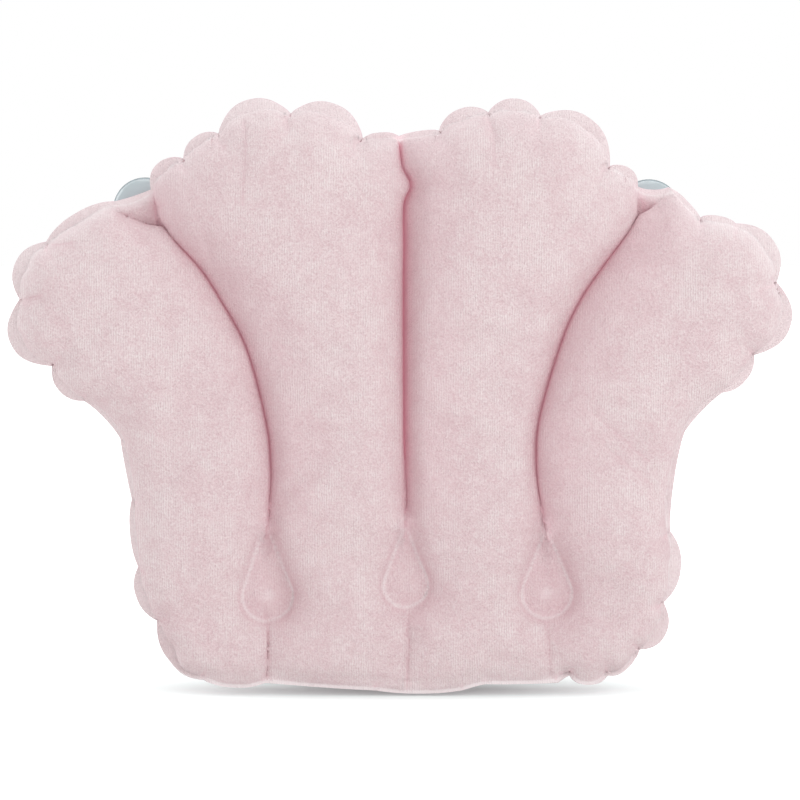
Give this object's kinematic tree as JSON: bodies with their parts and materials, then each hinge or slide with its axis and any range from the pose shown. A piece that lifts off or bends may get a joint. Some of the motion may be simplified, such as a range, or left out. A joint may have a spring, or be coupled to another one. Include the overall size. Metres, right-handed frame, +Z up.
{
  "type": "bath pillow",
  "caption": "Shell-shaped inflatable bath pillow with a terry face, welded lobes, suction cups on flexible tabs and a plugged air valve at the back.",
  "frame": {"origin": "on the surface that the pillow stands on, under the middle of its box", "axes": "+Z up, the terry face looks along -Y, the suction cups and the valve look along +Y, +X to the right seen from the front"},
  "size_m": [0.4221, 0.0666, 0.3196],
  "materials": {
    "terry": "brushed loop pile, pale pink",
    "film": "soft pale pink PVC film, fine emboss",
    "cup_pvc": "translucent blue-grey soft PVC, smooth",
    "valve_pvc": "moulded soft PVC, satin"
  },
  "bodies": {
    "pillow": {"terry_cover": "terry", "front_film": "film", "back_film": "film", "valve_base": "valve_pvc"},
    "tab_left": {"cup_tab_left": "film"},
    "cup_left": {"suction_cup_left": "cup_pvc"},
    "tab_right": {"cup_tab_right": "film"},
    "cup_right": {"suction_cup_right": "cup_pvc"},
    "stem": {"valve_stem": "valve_pvc"},
    "plug": {"valve_plug": "valve_pvc", "valve_strap": "valve_pvc"},
    "flap": {"valve_flap": "valve_pvc"}
  },
  "joints": [
    {"name": "tab_left_flex", "type": "hinge", "parent": "pillow", "child": "tab_left", "pos_m": [-0.14, 0.00319, 0.2655], "axis": [1, 0, 0], "range_deg": [0, 60]},
    {"name": "cup_left_spin", "type": "hinge", "parent": "tab_left", "child": "cup_left", "pos_m": [-0.14, 0.0245, 0.259], "axis": [0, 1, 0], "continuous": true},
    {"name": "tab_right_flex", "type": "hinge", "parent": "pillow", "child": "tab_right", "pos_m": [0.1345, 0.00319, 0.2645], "axis": [1, 0, 0], "range_deg": [0, 60]},
    {"name": "cup_right_spin", "type": "hinge", "parent": "tab_right", "child": "cup_right", "pos_m": [0.1345, 0.0245, 0.258], "axis": [0, 1, 0], "continuous": true},
    {"name": "stem_pull", "type": "slide", "parent": "pillow", "child": "stem", "axis": [0, 1, 0], "range_m": [0, 0.008]},
    {"name": "plug_flip", "type": "hinge", "parent": "stem", "child": "plug", "pos_m": [0.037, 0.02875, 0.1269], "axis": [1, 0, 0], "range_deg": [0, 150]},
    {"name": "flap_open", "type": "hinge", "parent": "stem", "child": "flap", "pos_m": [0.037, 0.01205, 0.1228], "axis": [-1, 0, 0], "range_deg": [0, 50]}
  ]
}
